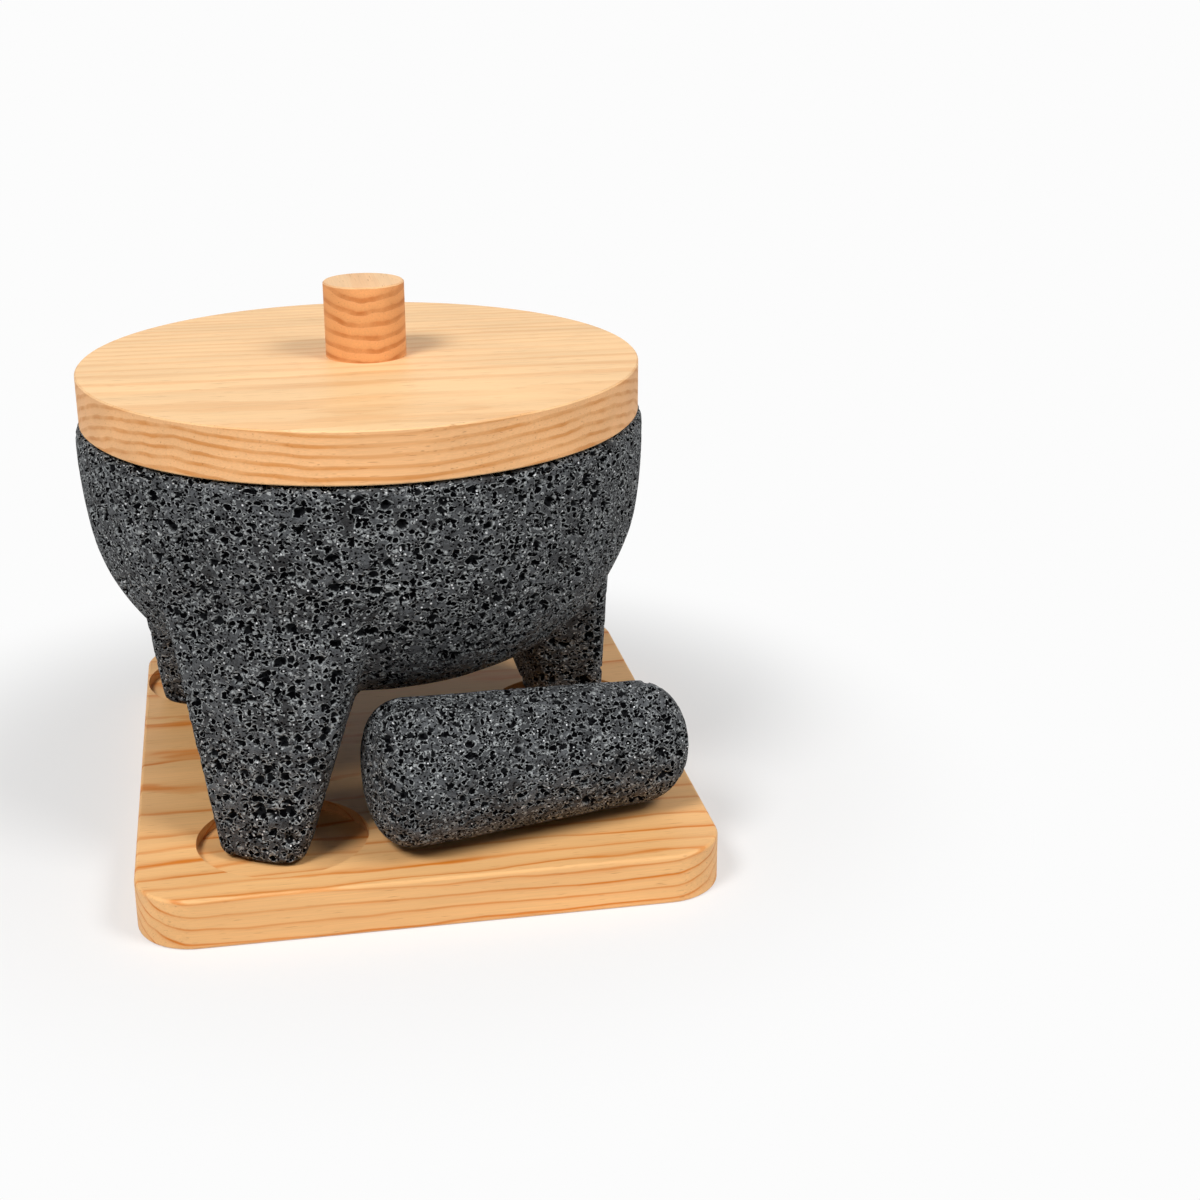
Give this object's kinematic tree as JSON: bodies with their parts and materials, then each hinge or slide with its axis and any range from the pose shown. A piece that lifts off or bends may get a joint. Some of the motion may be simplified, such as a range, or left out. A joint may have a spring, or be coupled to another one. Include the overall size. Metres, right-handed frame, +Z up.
{
  "type": "molcajete",
  "caption": "Three-legged basalt mortar with tapered stone pestle, round pine lid with dowel knob, and recessed pine stand board.",
  "frame": {"origin": "on the mortar's axis, on the surface that the board stands on", "axes": "+Z up, front towards -Y, the board's grain along X"},
  "size_m": [0.2113, 0.229, 0.1926],
  "materials": {
    "basalt": "hand-carved vesicular basalt, open pored, matte",
    "board_pine": "sanded and oiled pine",
    "lid_pine": "sanded and oiled pine",
    "knob_pine": "sanded and oiled pine dowel"
  },
  "bodies": {
    "base": {"base_board": "board_pine"},
    "mortar": {"mortar": "basalt"},
    "lid": {"lid_disc": "lid_pine", "lid_knob": "knob_pine"},
    "pestle": {"pestle": "basalt"}
  },
  "joints": [
    {"name": "mortar_lift", "type": "slide", "parent": "base", "child": "mortar", "axis": [0, 0, 1], "range_m": [0, 0.08]},
    {"name": "lid_lift", "type": "slide", "parent": "mortar", "child": "lid", "axis": [0, 0, 1], "range_m": [0, 0.12]},
    {"name": "pestle_lift", "type": "slide", "parent": "base", "child": "pestle", "axis": [0.261, -0.8634, 0.4317], "range_m": [0, 0.12]}
  ]
}
